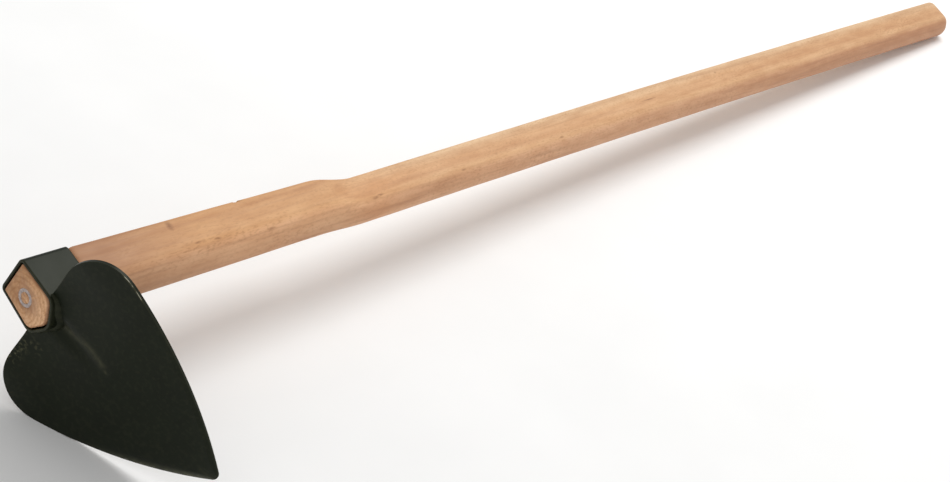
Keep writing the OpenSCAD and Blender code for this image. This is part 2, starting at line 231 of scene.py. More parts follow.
paper, tree, shader, tool = new_material("white_paper")
felt = add_node(tree, "ShaderNodeTexNoise", {"Vector": tool, "Scale": per_mm(FELT_PATCH)[0], "Detail": 2.0})
white = add_node(tree, "ShaderNodeValToRGB", {"Fac": felt.outputs["Fac"]})
set_stops(white.color_ramp, (0.3, "#f7f7f6"), (0.7, "#fafaf9"))
tree.links.new(white.outputs["Color"], shader.inputs["Base Color"])
shader.inputs["Roughness"].default_value = 0.9
shader.inputs["Specular IOR Level"].default_value = 0.1
floor.data.materials.append(paper)
print("white paper with patches of", FELT_PATCH, "mm")

# %% [markdown]
# The handle is steamed beech, shaved to shape, sanded and oiled. To the eye that is an even, pinkish tan,
# with faint growth rings, fine fibres along the handle, and the short dark flecks that tell beech from ash.
# A flat wood pattern could be wrapped round the handle, but it would show a seam and have no end grain.
# So all of it is drawn in the tool's axes, as if cut from one solid block:
# the rings and fibres that run as long lines down the side show as arcs and pores on the sawn end.
# The plain colour comes first. The wood is soiled next to the eye and clean further on.
# Its belly, which faces the blade's side, gets a tone of its own, chosen by the way the surface faces: painted
# light and shade, pinker, and darker towards the grip.

# %% Beech, colour along the handle
HANDLE_LEN = 1300.0

beech, tree, shader, tool = new_material("beech")
facing = add_node(tree, "ShaderNodeNewGeometry")
faces_up = add_node(tree, "ShaderNodeVectorMath", {0: facing.outputs["Normal"], 1: UP},
                    operation="DOT_PRODUCT")
apart = add_node(tree, "ShaderNodeSeparateXYZ", {"Vector": tool})
share_along = add_node(tree, "ShaderNodeMapRange",
                       {"Value": apart.outputs["X"], "From Max": HANDLE_LEN * MM})
side_colour = add_node(tree, "ShaderNodeValToRGB", {"Fac": share_along.outputs[0]})
set_stops(side_colour.color_ramp, (0.045, "#c29470"), (0.11, "#e0ae7b"), (0.21, "#e0b080"),
          (0.3, "#e6c299"), (1.0, "#d9b893"))
# Painted light and shade: the belly gets a tone of its own, picked by the way its surface faces.
belly_shading_colour = add_node(tree, "ShaderNodeValToRGB", {"Fac": share_along.outputs[0]})
set_stops(belly_shading_colour.color_ramp, (0.05, "#d8a983"), (0.13, "#eab88d"), (0.21, "#eab98e"),
          (0.27, "#e5bf9e"), (1.0, "#c89f80"))
belly_shading_share = add_node(tree, "ShaderNodeMapRange",
                       {"Value": faces_up.outputs["Value"], "From Min": -0.15, "From Max": -0.55})
side_and_belly_shading = add_node(tree, "ShaderNodeMix",
                  {MIX_SHARE: belly_shading_share.outputs[0], MIX_BASE: side_colour.outputs["Color"],
                   MIX_TOP: belly_shading_colour.outputs["Color"]}, data_type="RGBA")
print("beech coloured along", HANDLE_LEN, "mm")

# %% [markdown]
# Faint bands run along the handle: painted light and shade, lighter and darker by the height in the section.
# The top edges of the shaft are painted paler, and those of the head are not. A band follows the height in the
# section,
# from the belly up to the top edge, and the section changes along the handle. So no fixed height would do:
# the mesh of the handle carries its own "height" attribute, which is written when the handle is made, and the
# bands are tints on it.

# %% Beech, painted light and shade along the edges
HEAD_END = 275
SHAFT_START = 320

# Painted light and shade by height in the section: paler and darker bands.
height = add_node(tree, "ShaderNodeAttribute", attribute_name="height")
head_painted_light = add_node(tree, "ShaderNodeValToRGB", {"Fac": height.outputs["Fac"]})
set_stops(head_painted_light.color_ramp, (0.08, "#eeedef"), (0.25, "#ffffff"), (0.4, "#fdfcfa"), (0.7, "#f3efec"))
shaft_painted_light = add_node(tree, "ShaderNodeValToRGB", {"Fac": height.outputs["Fac"]})
set_stops(shaft_painted_light.color_ramp, (0.08, "#f8eade"), (0.24, "#fef4ea"), (0.55, "#f5e5d8"),
          (0.68, "#f7e9dc"), (0.9, "#ffffff"))
shaft_share = add_node(tree, "ShaderNodeMapRange",
                       {"Value": apart.outputs["X"], "From Min": HEAD_END * MM,
                        "From Max": SHAFT_START * MM})
painted_light_bands = add_node(tree, "ShaderNodeMix",
                 {MIX_SHARE: shaft_share.outputs[0], MIX_BASE: head_painted_light.outputs["Color"],
                  MIX_TOP: shaft_painted_light.outputs["Color"]}, data_type="RGBA")
with_painted_light = add_node(tree, "ShaderNodeMix",
                  {MIX_SHARE: 1.0, MIX_BASE: side_and_belly_shading.outputs[MIX_COLOUR], MIX_TOP: painted_light_bands.outputs[MIX_COLOUR]},
                  data_type="RGBA", blend_type="MULTIPLY")
print("bands change between", HEAD_END, "and", SHAFT_START, "mm")

# %% [markdown]
# A sawn end drinks more oil than a shaved side, so it is darker, and mottled where the oil went in unevenly.
# This one is darker at the top, under the flat of the eye, and paler at the foot.
# The end faces could be picked and given a material of their own, with a hard line at their border.
# Here the surface itself tells, by how far it faces along the handle, and one look fades into the other.

# %% Beech, sawn ends
END_MOTTLE = 5
END_FOOT = -40
END_TOP = -4

end_mottle = add_node(tree, "ShaderNodeTexNoise",
                      {"Vector": tool, "Scale": per_mm(END_MOTTLE)[0], "Detail": 3.0})
end_height = add_node(tree, "ShaderNodeMapRange",
                      {"Value": apart.outputs["Z"], "From Min": END_FOOT * MM, "From Max": END_TOP * MM,
                       "To Min": 0.65, "To Max": -0.15})
end_tone = add_node(tree, "ShaderNodeMath", {0: end_mottle.outputs["Fac"], 1: end_height.outputs[0]},
                    operation="ADD")
end_colour = add_node(tree, "ShaderNodeValToRGB", {"Fac": end_tone.outputs[0]})
set_stops(end_colour.color_ramp, (0.3, "#b58961"), (0.75, "#d7a97e"), (1.0, "#ebbf94"))
faces_along = add_node(tree, "ShaderNodeVectorMath", {0: facing.outputs["Normal"], 1: ALONG},
                       operation="DOT_PRODUCT")
either_end = add_node(tree, "ShaderNodeMath", {0: faces_along.outputs["Value"]}, operation="ABSOLUTE")
end_share = add_node(tree, "ShaderNodeMapRange",
                     {"Value": either_end.outputs[0], "From Min": 0.75, "From Max": 0.97})
wood_colour = add_node(tree, "ShaderNodeMix",
                       {MIX_SHARE: end_share.outputs[0], MIX_BASE: with_painted_light.outputs[MIX_COLOUR],
                        MIX_TOP: end_colour.outputs["Color"]}, data_type="RGBA")
print("sawn ends mottled every", END_MOTTLE, "mm")

# %% [markdown]
# Growth rings are tubes round the pith, which here runs inside the handle. Straight stripes could stand
# for them on the sides, but a wave texture of rings about that line also gives the arcs on the ends.
# Real fibres wander, so the place that the wave reads is pushed about by a slow noise.

# %% Beech, growth rings
PITH = Vector((0, 11, -17)) * MM
RING_SPACING = 3.4
WANDER = (260, 40, 40)
WANDER_REACH = Vector((0, 7, 7)) * MM
# A wave repeats every 0.314 units of its scaled place
WAVE_REPEAT = 0.314

wander_place = add_node(tree, "ShaderNodeMapping", {"Vector": tool, "Scale": per_mm(*WANDER)})
wander = add_node(tree, "ShaderNodeTexNoise",
                  {"Vector": wander_place.outputs[0], "Scale": 1.0, "Detail": 1.0})
drifted = add_node(tree, "ShaderNodeVectorMath", {0: wander.outputs["Color"], 1: WANDER_REACH, 2: tool},
                   operation="MULTIPLY_ADD")
from_pith = add_node(tree, "ShaderNodeVectorMath", {0: drifted.outputs[0], 1: PITH}, operation="SUBTRACT")
rings = add_node(tree, "ShaderNodeTexWave",
                 {"Vector": from_pith.outputs[0], "Scale": WAVE_REPEAT * per_mm(RING_SPACING)[0],
                  "Distortion": 0.8, "Detail": 2.0, "Detail Scale": 0.4},
                 wave_type="RINGS", rings_direction="X", wave_profile="SIN")
ring_tint = add_node(tree, "ShaderNodeValToRGB", {"Fac": rings.outputs["Fac"]})
set_stops(ring_tint.color_ramp, (0.0, "#ffffff"), (0.6, "#faf6f2"), (1.0, "#e9dcd1"))
ring_share = add_node(tree, "ShaderNodeMapRange",
                      {"Value": end_share.outputs[0], "To Min": 0.45, "To Max": 0.8})
ringed = add_node(tree, "ShaderNodeMix",
                  {MIX_SHARE: ring_share.outputs[0], MIX_BASE: wood_colour.outputs[MIX_COLOUR],
                   MIX_TOP: ring_tint.outputs["Color"]}, data_type="RGBA", blend_type="MULTIPLY")
print("growth rings every", RING_SPACING, "mm about", PITH[:])

# %% [markdown]
# Between the rings the wood is clouded by its oil, and its fibres show as long faint lines,
# a millimetre or two wide. A wave could draw the lines, but would look too regular.
# So both are noise, stretched along the handle and drifting as the rings do.

# %% Beech, clouds and fibres
CLOUD = (22, 7, 7)
FIBRE = (75, 2, 2)

cloud_place = add_node(tree, "ShaderNodeMapping", {"Vector": drifted.outputs[0], "Scale": per_mm(*CLOUD)})
clouds = add_node(tree, "ShaderNodeTexNoise",
                  {"Vector": cloud_place.outputs[0], "Scale": 1.0, "Detail": 2.0})
cloud_tint = add_node(tree, "ShaderNodeValToRGB", {"Fac": clouds.outputs["Fac"]})
set_stops(cloud_tint.color_ramp, (0.34, "#ece0d4"), (0.66, "#ffffff"))
clouded = add_node(tree, "ShaderNodeMix",
                   {MIX_SHARE: 0.55, MIX_BASE: ringed.outputs[MIX_COLOUR],
                    MIX_TOP: cloud_tint.outputs["Color"]}, data_type="RGBA", blend_type="MULTIPLY")
fibre_place = add_node(tree, "ShaderNodeMapping", {"Vector": drifted.outputs[0], "Scale": per_mm(*FIBRE)})
fibres = add_node(tree, "ShaderNodeTexNoise",
                  {"Vector": fibre_place.outputs[0], "Scale": 1.0, "Detail": 1.0, "Roughness": 0.5})
fibre_tint = add_node(tree, "ShaderNodeValToRGB", {"Fac": fibres.outputs["Fac"]})
set_stops(fibre_tint.color_ramp, (0.28, "#dccfc4"), (0.5, "#f6f1ed"), (0.7, "#ffffff"))
fibred = add_node(tree, "ShaderNodeMix",
                  {MIX_SHARE: 0.34, MIX_BASE: clouded.outputs[MIX_COLOUR],
                   MIX_TOP: fibre_tint.outputs["Color"]}, data_type="RGBA", blend_type="MULTIPLY")
print("clouds of", CLOUD, "mm, fibres of", FIBRE, "mm")

# %% [markdown]
# The flecks of beech are its rays, cut across: short dark dashes that crowd in some patches
# and thin out in others, and pores on the sawn ends. They could be scattered one by one,
# but the peaks of a short, flat noise make as many as are needed, and a slower noise makes the patches.
# Real ones are half as wide, and are drawn this coarse so that they show.

# %% Beech, flecks
FLECK = (3.4, 2.6, 1.1)
FLECK_PATCH = (60, 30, 9)

fleck_place = add_node(tree, "ShaderNodeMapping", {"Vector": tool, "Scale": per_mm(*FLECK)})
flecks = add_node(tree, "ShaderNodeTexNoise",
                  {"Vector": fleck_place.outputs[0], "Scale": 1.0, "Detail": 1.0})
patch_place = add_node(tree, "ShaderNodeMapping", {"Vector": tool, "Scale": per_mm(*FLECK_PATCH)})
patches = add_node(tree, "ShaderNodeTexNoise",
                   {"Vector": patch_place.outputs[0], "Scale": 1.0, "Detail": 1.0})
patch_share = add_node(tree, "ShaderNodeMapRange",
                       {"Value": patches.outputs["Fac"], "From Min": 0.45, "From Max": 0.65,
                        "To Min": 0.24, "To Max": 0.46})
fleck_most = add_node(tree, "ShaderNodeMapRange",
                      {"Value": end_share.outputs[0], "To Min": patch_share.outputs[0], "To Max": 0.55})
fleck_share = add_node(tree, "ShaderNodeMapRange",
                       {"Value": flecks.outputs["Fac"], "From Min": 0.5, "From Max": 0.7,
                        "To Max": fleck_most.outputs[0]})
flecked = add_node(tree, "ShaderNodeMix",
                   {MIX_SHARE: fleck_share.outputs[0], MIX_BASE: fibred.outputs[MIX_COLOUR],
                    MIX_TOP: linear("#ad7b50")}, data_type="RGBA")
print("flecks of", FLECK, "mm in patches of", FLECK_PATCH, "mm")

# %% [markdown]
# Darker streaks, a few centimetres long, run through the wood too, most of all on the belly.
# They are made as the flecks are, from the peaks of a noise, but one that is stretched much further.

# %% Beech, streaks
STREAK = (85, 3, 3)

streak_place = add_node(tree, "ShaderNodeMapping", {"Vector": drifted.outputs[0], "Scale": per_mm(*STREAK)})
streaks = add_node(tree, "ShaderNodeTexNoise",
                   {"Vector": streak_place.outputs[0], "Scale": 1.0, "Detail": 2.0})
streak_most = add_node(tree, "ShaderNodeMapRange",
                       {"Value": belly_shading_share.outputs[0], "To Min": 0.12, "To Max": 0.32})
streak_share = add_node(tree, "ShaderNodeMapRange",
                        {"Value": streaks.outputs["Fac"], "From Min": 0.52, "From Max": 0.74,
                         "To Max": streak_most.outputs[0]})
streaked = add_node(tree, "ShaderNodeMix",
                    {MIX_SHARE: streak_share.outputs[0], MIX_BASE: flecked.outputs[MIX_COLOUR],
                     MIX_TOP: linear("#946343")}, data_type="RGBA")
print("streaks of", STREAK, "mm")

# %% [markdown]
# A few marks belong to this one handle: a pin knot near the eye, a dark patch round a nick in the top edge,
# and dark dashes lower down on the near side. They could be painted on the mesh, but that needs a fine net.
# In the material each is a soft oval, darker the nearer a place is to the mark's middle.
# The darkest of the ovals counts, and the flecks break up their outlines.

# %% Beech, marks
NICK_X = 188.5
MARK_SIDE = -15.0
MARK_DEPTH = 8
# How far along and up each lies, and its length and height, in millimetres
MARKS = [
    (121, -8.5, 3.0, 4.2),
    (NICK_X, -3, 2.0, 1.8),
    (134, -26.5, 3.2, 0.9),
    (152, -28, 3.6, 0.9),
    (203, -32, 4.0, 0.9),
    (315.5, -33, 4.6, 1.3),
    (321.5, -32, 4.0, 1.0),
    (421.5, -33, 3.0, 0.9),
    (554.5, -32, 3.6, 0.9),
    (698, -22.5, 12.0, 0.8),
    (818, -16, 1.8, 1.3),
]

darkest = None
for x, z, mark_len, mark_height in MARKS:
    way = add_node(tree, "ShaderNodeVectorMath", {0: tool, 1: Vector((x, MARK_SIDE, z)) * MM},
                   operation="SUBTRACT")
    oval = add_node(tree, "ShaderNodeVectorMath",
                    {0: way.outputs[0], 1: per_mm(mark_len, MARK_DEPTH, mark_height)}, operation="MULTIPLY")
    far = add_node(tree, "ShaderNodeVectorMath", {0: oval.outputs[0]}, operation="LENGTH")
    mark = add_node(tree, "ShaderNodeMapRange",
                    {"Value": far.outputs["Value"], "From Min": 1.2, "From Max": 0.3, "To Max": 0.6})
    if darkest:
        mark = add_node(tree, "ShaderNodeMath", {0: darkest.outputs[0], 1: mark.outputs[0]},
                        operation="MAXIMUM")
    darkest = mark
mark_break = add_node(tree, "ShaderNodeMapRange",
                      {"Value": flecks.outputs["Fac"], "From Min": 0.35, "From Max": 0.6, "To Min": 0.65})
mark_share = add_node(tree, "ShaderNodeMath", {0: darkest.outputs[0], 1: mark_break.outputs[0]},
                      operation="MULTIPLY")
marked = add_node(tree, "ShaderNodeMix",
                  {MIX_SHARE: mark_share.outputs[0], MIX_BASE: streaked.outputs[MIX_COLOUR],
                   MIX_TOP: linear("#7d4d2c")}, data_type="RGBA")
tree.links.new(marked.outputs[MIX_COLOUR], shader.inputs["Base Color"])
print(len(MARKS), "marks on the beech")

# %% [markdown]
# Oiled wood has a low sheen that changes from fibre to fibre, and its fibres stand up by about a tenth
# of a millimetre. So the noise that drew the fibres also sets the roughness and a slight bump:
# a second noise would put the gloss and the lines in different places.

# %% Beech, sheen and relief
FIBRE_RELIEF = 0.12

sheen = add_node(tree, "ShaderNodeMapRange",
                 {"Value": fibres.outputs["Fac"], "To Min": 0.45, "To Max": 0.65})
tree.links.new(sheen.outputs[0], shader.inputs["Roughness"])
shader.inputs["Specular IOR Level"].default_value = 0.3
relief = add_node(tree, "ShaderNodeBump",
                  {"Height": fibres.outputs["Fac"], "Strength": 0.3, "Distance": FIBRE_RELIEF * MM})
tree.links.new(relief.outputs[0], shader.inputs["Normal"])
print("beech has", len(tree.nodes), "nodes")

# %% [markdown]
# Each piece starts as a copy of its solid, so that it sits exactly where the solid does.
# It could be modelled afresh, but then it would only come near the solid that it stands for.
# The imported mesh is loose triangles: the copy's doubles are merged and its triangles joined to quads,
# which gives a clean net to cut, bevel and smooth.

# %% Copies of the solids
MERGE = 0.01
QUAD_BEND = math.radians(40)
QUAD_SKEW = math.radians(180)


def copy_of(node, name):
    """A merged copy of a solid, active and in edit mode with everything selected."""
    bpy.ops.object.select_all(action="DESELECT")
    piece = bpy.data.objects.new(name, frame["nodes"][node].data.copy())
    bpy.context.collection.objects.link(piece)
    bpy.context.view_layer.objects.active = piece
    piece.select_set(True)
    bpy.ops.object.mode_set(mode="EDIT")
    bpy.ops.mesh.select_all(action="SELECT")
    bpy.ops.mesh.remove_doubles(threshold=MERGE * MM)
    bpy.ops.mesh.tris_convert_to_quads(face_threshold=QUAD_BEND, shape_threshold=QUAD_SKEW)
    return piece


print("solids to copy:", sorted(frame["nodes"]))

# %% [markdown]
# By hand, parts of a mesh are picked with the mouse and cut with the knife. A script picks them by a test
# of their places on the tool, and cuts with bisect, which slices all that is selected along a plane.

# %% Picking and slicing


def places_of(piece):
    """Where each vertex of a piece lies on the tool, in millimetres."""
    return [to_tool @ vertex.co / MM for vertex in piece.data.vertices]


def pick(piece, kind, test):
    """In edit mode, selects only the vertices or edges that pass a test of their places on the tool."""
    bpy.ops.mesh.select_mode(type=kind)
    bpy.ops.mesh.select_all(action="DESELECT")
    bpy.ops.object.mode_set(mode="OBJECT")
    places = places_of(piece)
    if kind == "VERT":
        for vertex in piece.data.vertices:
            vertex.select = test(places[vertex.index])
    else:
        for edge in piece.data.edges:
            edge.select = test(*[places[i] for i in edge.vertices])
    bpy.ops.object.mode_set(mode="EDIT")


def slice_at(*stations):
    """Cuts a ring of edges through the whole mesh at each distance along the handle, in millimetres."""
    for x in stations:
        bpy.ops.mesh.select_all(action="SELECT")
        bpy.ops.mesh.bisect(plane_co=on_tool(x, 0, 0), plane_no=ALONG)


print("slices stand across", ALONG[:])

# %% [markdown]
# The pieces are then worked in the same few ways. Points are kept as a group, which tells a modifier
# where to act, and uneven surfaces are pushed in and out by a cloudy texture.
# A modifier could stay live on its piece, but it is applied at once, so that the next step sees its result.
# At the end a piece gets its finish, and takes the place of its solid.

# %% Working and dressing a piece


def group_selected(piece, name):
    """Keeps the selected vertices as a group, from edit mode and back to it."""
    bpy.ops.object.mode_set(mode="OBJECT")
    group = piece.vertex_groups.new(name=name)
    group.add([vertex.index for vertex in piece.data.vertices if vertex.select], 1.0, "REPLACE")
    bpy.ops.object.mode_set(mode="EDIT")


def add_modifier(piece, name, kind, **settings):
    """Adds a modifier with its settings and applies it, from edit mode and back to it."""
    bpy.ops.object.mode_set(mode="OBJECT")
    modifier = piece.modifiers.new(name, kind)
    for setting, value in settings.items():
        setattr(modifier, setting, value)
    bpy.ops.object.modifier_apply(modifier=name)
    bpy.ops.object.mode_set(mode="EDIT")


def push_uneven(piece, name, lump_size, reach):
    """Pushes a group of points in and out by lumps of a size, within a reach, both in millimetres."""
    lumps = bpy.data.textures.new(name, "CLOUDS")
    lumps.noise_scale = lump_size * MM
    add_modifier(piece, name, "DISPLACE", texture=lumps, texture_coords="LOCAL", strength=reach * MM,
                 vertex_group=name)


def dress(piece, node, material, smooth_angle):
    """Leaves edit mode, smooths the piece, gives it its finish and sets it in the place of its solid."""
    bpy.ops.object.mode_set(mode="OBJECT")
    bpy.ops.object.shade_smooth_by_angle(angle=math.radians(smooth_angle), keep_sharp_edges=True)
    piece.data.materials.clear()
    piece.data.materials.append(material)
    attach(piece, "root")
    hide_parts(node)
    print(piece.name, len(piece.data.polygons), "faces")


# %% [markdown]
# The net of the handle is long strips, too coarse to be shaped. By hand they would be cut across
# with loop cuts, which need a window, so the long edges are picked and subdivided.
# The nick in the top edge, a few millimetres wide, needs a finer net of its own:
# four slices close together and, between them only, two more cuts along the edge.

# %% Net of the handle
LONG_EDGE = 30
STRIP_CUTS = 23
NICK_SLICES = (-3.5, -1.6, 1.6, 2.6)
NICK_NET = 3.6
NICK_CORNER = on_tool(NICK_X, -9, -5.5)

handle = copy_of("handle", "hoe_handle")
pick(handle, "EDGE", lambda a, b: abs(a.x - b.x) > LONG_EDGE)
bpy.ops.mesh.subdivide(number_cuts=STRIP_CUTS)
slice_at(*[NICK_X + step for step in NICK_SLICES])
for cut in (UP, ACROSS):
    pick(handle, "VERT", lambda p: abs(p.x - NICK_X) < NICK_NET)
    bpy.ops.mesh.bisect(plane_co=NICK_CORNER, plane_no=cut)
print("strips of the handle cut", STRIP_CUTS, "times")

# %% [markdown]
# The painted light and shade of the beech follows the height in the section, which a material can't know but
# the mesh can tell.
# The points are grouped into sections by their distance along the handle,
# and each gets its share of the way from the section's foot to its top.

# %% Height in the section
SECTION_GAP = 0.3
LEAST_HEIGHT = 1

bpy.ops.object.mode_set(mode="OBJECT")
places = places_of(handle)
sections = [[]]
for i in sorted(range(len(places)), key=lambda i: places[i].x):
    if sections[-1] and places[i].x - places[sections[-1][-1]].x > SECTION_GAP:
        sections.append([])
    sections[-1].append(i)
height_layer = handle.data.attributes.new("height", "FLOAT", "POINT")
for section in sections:
    foot = min(places[i].z for i in section)
    top = max(places[i].z for i in section)
    for i in section:
        height_layer.data[i].value = (places[i].z - foot) / max(top - foot, LEAST_HEIGHT)
bpy.ops.object.mode_set(mode="EDIT")
print(len(sections), "sections along the handle")

# %% [markdown]
# A shaved handle is never quite straight: the spokeshave leaves long, shallow waves,
# and a tool that has lain in a shed has a nick or two. A bump in the material would only shade them,
# and points that move show in the outline too. So the wood outside the eye is pushed in and out
# by a fraction of a millimetre, and a few points of one top edge are pushed in where the nick is.

# %% Waves and nick of the handle
OPEN_WOOD = 60
WAVE_LEN = 45
WAVE_REACH = 0.35
NICK_HALF_LEN = 2
EDGE_SIDE = -11
EDGE_FOOT = -5
NICK_PUSH = (ACROSS * 1.2 - UP * 1.4) * MM
SMOOTH_ANGLE = 35


def is_in_nick(p):
    """True at the points of the near top edge that the nick pushed in."""
    return abs(p.x - NICK_X) < NICK_HALF_LEN and p.y < EDGE_SIDE and p.z > EDGE_FOOT


pick(handle, "VERT", lambda p: p.x > OPEN_WOOD)
group_selected(handle, "shaving")
push_uneven(handle, "shaving", WAVE_LEN, WAVE_REACH)
pick(handle, "VERT", is_in_nick)
bpy.ops.transform.translate(value=NICK_PUSH)
dress(handle, "handle", beech, SMOOTH_ANGLE)

# %% [markdown]
# A ring of bare steel, driven into the end grain, spreads the wood in the eye. It was struck with a hammer,
# so to the eye it is a warm grey, dulled in patches, with a little unevenness that breaks its shine.
# One noise does for all three: where the hammer struck, the steel is lower, smoother and darker.

# %% Bare steel
DULL_PATCH = 1.6
DENT = 0.1

steel, tree, shader, tool = new_material("bare_steel")
dull = add_node(tree, "ShaderNodeTexNoise", {"Vector": tool, "Scale": per_mm(DULL_PATCH)[0], "Detail": 3.0})
dull_colour = add_node(tree, "ShaderNodeValToRGB", {"Fac": dull.outputs["Fac"]})
set_stops(dull_colour.color_ramp, (0.3, "#8f8480"), (0.7, "#c0b3ae"))
tree.links.new(dull_colour.outputs["Color"], shader.inputs["Base Color"])
dull_gloss = add_node(tree, "ShaderNodeMapRange",
                      {"Value": dull.outputs["Fac"], "To Min": 0.38, "To Max": 0.62})
tree.links.new(dull_gloss.outputs[0], shader.inputs["Roughness"])
shader.inputs["Metallic"].default_value = 1.0
dents = add_node(tree, "ShaderNodeBump",
                 {"Height": dull.outputs["Fac"], "Strength": 0.4, "Distance": DENT * MM})
tree.links.new(dents.outputs[0], shader.inputs["Normal"])
print("bare steel with dull patches of", DULL_PATCH, "mm")

# %% [markdown]
# The hammer also rounded the rim of the ring over. Its edges could be picked and bevelled one by one,
# but a Bevel modifier that is limited by angle finds all the sharp ones itself.

# %% Ring wedge
RIM_ROUNDING = 0.3
RIM_ANGLE = 40

ring = copy_of("ring_wedge", "hoe_ring_wedge")
add_modifier(ring, "rounding", "BEVEL", width=RIM_ROUNDING * MM, segments=3, limit_method="ANGLE",
             angle_limit=math.radians(RIM_ANGLE))
dress(ring, "ring_wedge", steel, SMOOTH_ANGLE)

# %% [markdown]
# The eye, the blade and the welds were painted together and baked, as a garden tool is: to the eye
# an olive black with a satin gloss. Baked paint has a fine orange peel, which keeps the gloss from looking
# like plastic. It reflects little, with a faint green cast, and is duller in some patches than in others.
# The peel could be modelled, but it is so shallow that a bump does as well.

# %% Dark paint, colour and gloss
MOTTLE = 22
PEEL = 2.4
PEEL_DEPTH = 0.08

paint, tree, shader, tool = new_material("satin_stoving_paint")
mottle = add_node(tree, "ShaderNodeTexNoise",
                  {"Vector": tool, "Scale": per_mm(MOTTLE)[0], "Detail": 4.0, "Roughness": 0.6})
mottle_colour = add_node(tree, "ShaderNodeValToRGB", {"Fac": mottle.outputs["Fac"]})
set_stops(mottle_colour.color_ramp, (0.3, "#0b1007"), (0.7, "#12180d"))
satin = add_node(tree, "ShaderNodeMapRange",
                 {"Value": mottle.outputs["Fac"], "To Min": 0.34, "To Max": 0.52})
tree.links.new(satin.outputs[0], shader.inputs["Roughness"])
shader.inputs["Specular IOR Level"].default_value = 0.16
shader.inputs["Specular Tint"].default_value = linear("#fbffe9")
peel = add_node(tree, "ShaderNodeTexNoise", {"Vector": tool, "Scale": per_mm(PEEL)[0], "Detail": 2.0})
peel_bump = add_node(tree, "ShaderNodeBump",
                     {"Height": peel.outputs["Fac"], "Strength": 0.25, "Distance": PEEL_DEPTH * MM})
tree.links.new(peel_bump.outputs[0], shader.inputs["Normal"])
print("paint mottled every", MOTTLE, "mm, with a peel of", PEEL, "mm")

# %% [markdown]
# The paint hides the metal except where earth and handling have rubbed it:
# it turns olive brown where it is thin, and pale grey where the steel shows through.
# Worn places could be a second material on picked faces, but they have no edges, so they are a share.
# An attribute on the meshes gives it, and a fine noise breaks its outline.
# The same attribute also carries painted light: highlights on the blade and a lit strip on the eye, in the
# same olive brown and pale grey.
# A second attribute, "scuff", scatters small specks of the same where the blade has been knocked about.

# %% Dark paint, wear and painted highlights
SCRATCH = 4
SPECK = 3.2

wear_and_highlight = add_node(tree, "ShaderNodeAttribute", attribute_name="wear_and_highlight")
scratch = add_node(tree, "ShaderNodeTexNoise", {"Vector": tool, "Scale": per_mm(SCRATCH)[0], "Detail": 4.0})
scratch_share = add_node(tree, "ShaderNodeMapRange",
                         {"Value": scratch.outputs["Fac"], "From Min": 0.3, "From Max": 0.7,
                          "To Min": 0.4, "To Max": 1.5})
# This share holds wear and painted highlights alike.
worn_and_highlit = add_node(tree, "ShaderNodeMath", {0: wear_and_highlight.outputs["Fac"], 1: scratch_share.outputs[0]},
                operation="MULTIPLY", use_clamp=True)
scuff = add_node(tree, "ShaderNodeAttribute", attribute_name="scuff")
specks = add_node(tree, "ShaderNodeTexNoise", {"Vector": tool, "Scale": per_mm(SPECK)[0], "Detail": 2.0})
speck_share = add_node(tree, "ShaderNodeMapRange",
                       {"Value": specks.outputs["Fac"], "From Min": 0.5, "From Max": 0.66})
scuffed = add_node(tree, "ShaderNodeMath", {0: scuff.outputs["Fac"], 1: speck_share.outputs[0]},
                   operation="MULTIPLY")
bared_and_highlit = add_node(tree, "ShaderNodeMath", {0: worn_and_highlit.outputs[0], 1: scuffed.outputs[0]}, operation="MAXIMUM")
bared_and_highlit_colour = add_node(tree, "ShaderNodeValToRGB", {"Fac": bared_and_highlit.outputs[0]})
set_stops(bared_and_highlit_colour.color_ramp, (0.65, "#504f39"), (0.95, "#b3b0a0"))
paint_colour = add_node(tree, "ShaderNodeMix",
                        {MIX_SHARE: bared_and_highlit.outputs[0], MIX_BASE: mottle_colour.outputs["Color"],
                         MIX_TOP: bared_and_highlit_colour.outputs["Color"]}, data_type="RGBA")
tree.links.new(paint_colour.outputs[MIX_COLOUR], shader.inputs["Base Color"])
print("paint has", len(tree.nodes), "nodes")

# %% [markdown]
# The blade hangs under the eye and its tip leans back along the handle. Places on it could be given
# in the tool's own axes, but how far they lie down the blade, from its shoulders, is easier to read.
# The neck, where the plate meets the eye, is neither bevelled nor worn, so a test finds it, to be left out.

# %% Places on the blade
BLADE_TILT = math.radians(17.9)
SHOULDER_DROP = 33.0
NECK_HALF_W = 24
NECK_LEN = 22


def down_blade(p):
    """Distance from the shoulders towards the tip of a place on the tool, in millimetres."""
    return p.x * math.sin(BLADE_TILT) - (p.z + SHOULDER_DROP) * math.cos(BLADE_TILT)


def is_by_eye(p):
    """True near the neck, where the plate meets the eye."""
    return abs(p.y) < NECK_HALF_W and down_blade(p) < NECK_LEN


print("the blade is tilted by", round(math.degrees(BLADE_TILT), 1), "degrees")

# %% [markdown]
# The blade is a plate cut to a heart, dished under the eye and ground to a bevel along its edge.
# Two levels of subdivision make its curves smooth. That would also round the edges,
# so the rim and the line where the bevel starts are creased and marked sharp first.
# The rim is picked by its sharp angle, and the bevel line is the border of the faces next to the rim.
# Near the eye there is no bevel, so that border is left out there.

# %% Blade
RIM_SHARP = 35


def pick_sharp(angle):
    """In edit mode, selects only the edges whose faces meet at more than an angle, in degrees."""
    bpy.ops.mesh.select_mode(type="EDGE")
    bpy.ops.mesh.select_all(action="DESELECT")
    bpy.ops.mesh.edges_select_sharp(sharpness=math.radians(angle))


def keep_selected_sharp():
    """Creases the selected edges and marks them sharp, so that smoothing leaves them as they are."""
    bpy.ops.transform.edge_crease(value=1.0)
    bpy.ops.mesh.mark_sharp()


